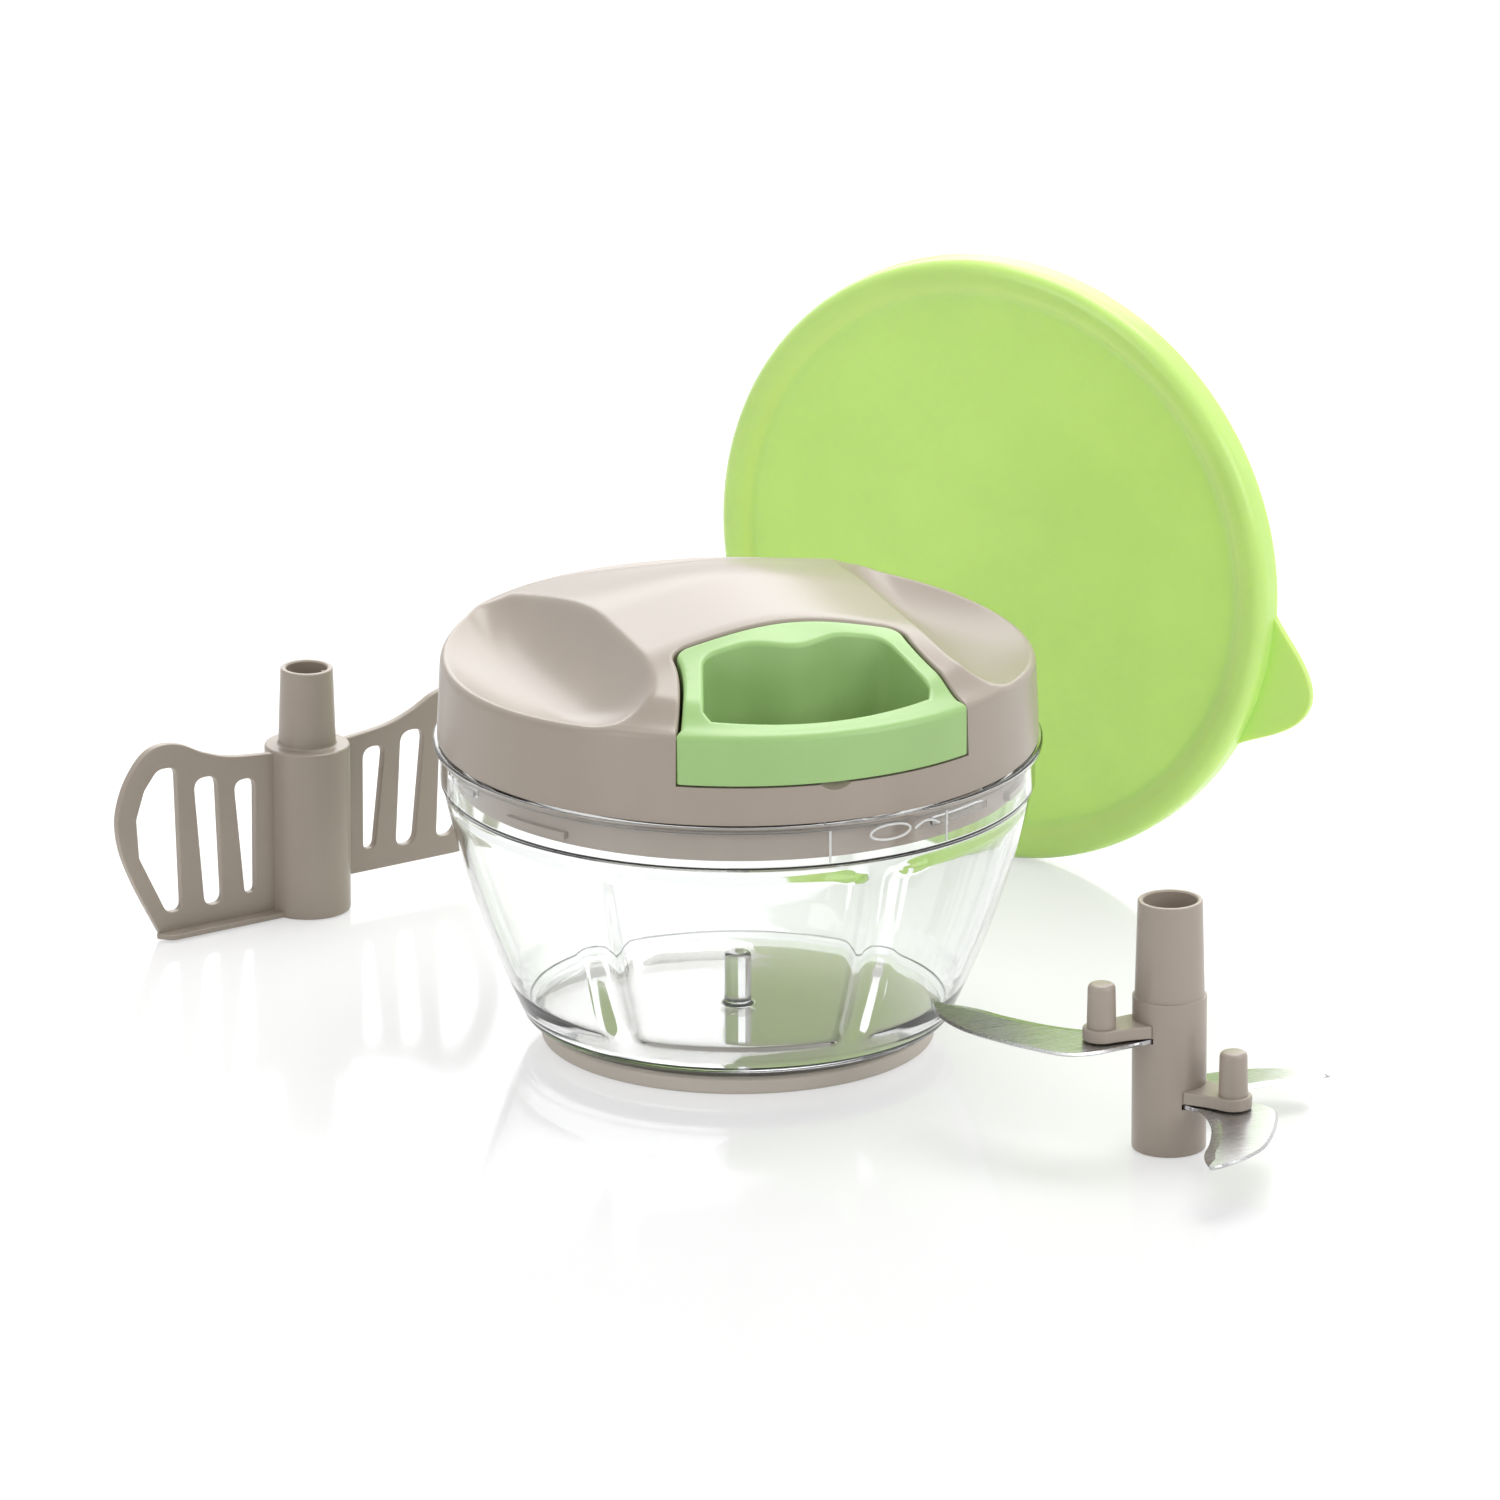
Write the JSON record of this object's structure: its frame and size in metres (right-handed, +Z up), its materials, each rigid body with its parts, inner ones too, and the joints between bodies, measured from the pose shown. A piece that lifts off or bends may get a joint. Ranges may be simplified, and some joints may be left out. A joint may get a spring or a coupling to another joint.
{
  "type": "pull-cord food chopper",
  "caption": "Hand-pulled food chopper: clear bowl, taupe cover with green pull handle, cord drive, storage lid, blade insert and paddle insert",
  "frame": {"origin": "centre of the bowl's foot on the table", "axes": "+Z up along the bowl's axis, the pull handle faces -Y, +X to the right of someone facing the handle"},
  "size_m": [0.2675, 0.3113, 0.142],
  "materials": {
    "foot_taupe": "soft matt ring",
    "clear_plastic": "clear polished plastic",
    "silicone_grey": "soft silicone",
    "taupe_plastic": "satin moulded plastic",
    "plate_taupe": "plain moulded plastic",
    "screw_steel": "zinc-plated screw",
    "eyelet_steel": "polished eyelet",
    "inner_plastic": "natural moulded plastic",
    "axle_steel": "ground pin",
    "bushing_brass": "turned brass",
    "seal_rubber": "soft rubber",
    "spring_steel": "blued strip",
    "cord_white": "braided cord",
    "handle_green": "satin moulded plastic",
    "knot_steel": "crimped stop",
    "spool_plastic": "natural moulded plastic",
    "winding_white": "wound cord",
    "shaft_taupe": "plain moulded plastic",
    "washer_steel": "flat washer",
    "lid_lime": "soft translucent plastic",
    "insert_taupe": "plain moulded plastic",
    "blade_steel": "polished blade steel",
    "paddle_taupe": "plain moulded plastic"
  },
  "bodies": {
    "bowl": {"base_ring": "foot_taupe", "bowl": "clear_plastic"},
    "seal": {"cover_seal": "silicone_grey"},
    "cover": {"cover_shell": "taupe_plastic", "cover_plate": "plate_taupe", "plate_screw_1": "screw_steel", "plate_screw_2": "screw_steel", "plate_screw_3": "screw_steel", "cup_screw_1": "screw_steel", "cup_screw_2": "screw_steel", "cord_eyelet": "eyelet_steel", "spring_cup": "inner_plastic", "axle_pin": "axle_steel", "shaft_bushing": "bushing_brass", "shaft_seal": "seal_rubber", "recoil_spring": "spring_steel", "pull_cord": "cord_white"},
    "handle": {"pull_handle": "handle_green", "cord_knot": "knot_steel"},
    "spool": {"spool": "spool_plastic", "cord_winding": "winding_white", "drive_shaft": "shaft_taupe", "axle_washer": "washer_steel"},
    "storage_lid": {"storage_lid": "lid_lime"},
    "blade_insert": {"blade_hub": "insert_taupe", "blade_upper": "blade_steel", "blade_middle": "blade_steel", "blade_lower": "blade_steel"},
    "paddle": {"paddle": "paddle_taupe"}
  },
  "joints": [
    {"name": "cover_lift", "type": "slide", "parent": "bowl", "child": "seal", "axis": [0, 0, 1], "range_m": [0, 0.12]},
    {"name": "cover_turn", "type": "hinge", "parent": "seal", "child": "cover", "pos_m": [0, 0, 0.07], "axis": [0, 0, 1], "range_deg": [-26.7, 0]},
    {"name": "handle_pull", "type": "slide", "parent": "cover", "child": "handle", "axis": [0, -1, 0], "range_m": [0, 0.28], "stiffness_N_per_m": 18, "springref_m": -0.17, "deforming": ["pull_cord"]},
    {"name": "spool_spin", "type": "hinge", "parent": "cover", "child": "spool", "pos_m": [0, 0, 0.0833], "axis": [0, 0, 1], "range_deg": [-990, 1], "deforming": ["recoil_spring"]},
    {"name": "lid_lift", "type": "slide", "parent": "bowl", "child": "storage_lid", "axis": [0, 0, 1], "range_m": [0, 0.15]},
    {"name": "blade_lift", "type": "slide", "parent": "bowl", "child": "blade_insert", "axis": [0, 0, 1], "range_m": [0, 0.15]},
    {"name": "paddle_lift", "type": "slide", "parent": "bowl", "child": "paddle", "axis": [0, 0, 1], "range_m": [0, 0.15]}
  ],
  "couplings": [
    {"joint": "spool_spin", "follows": "handle_pull", "rad_per_m": -61.35}
  ]
}
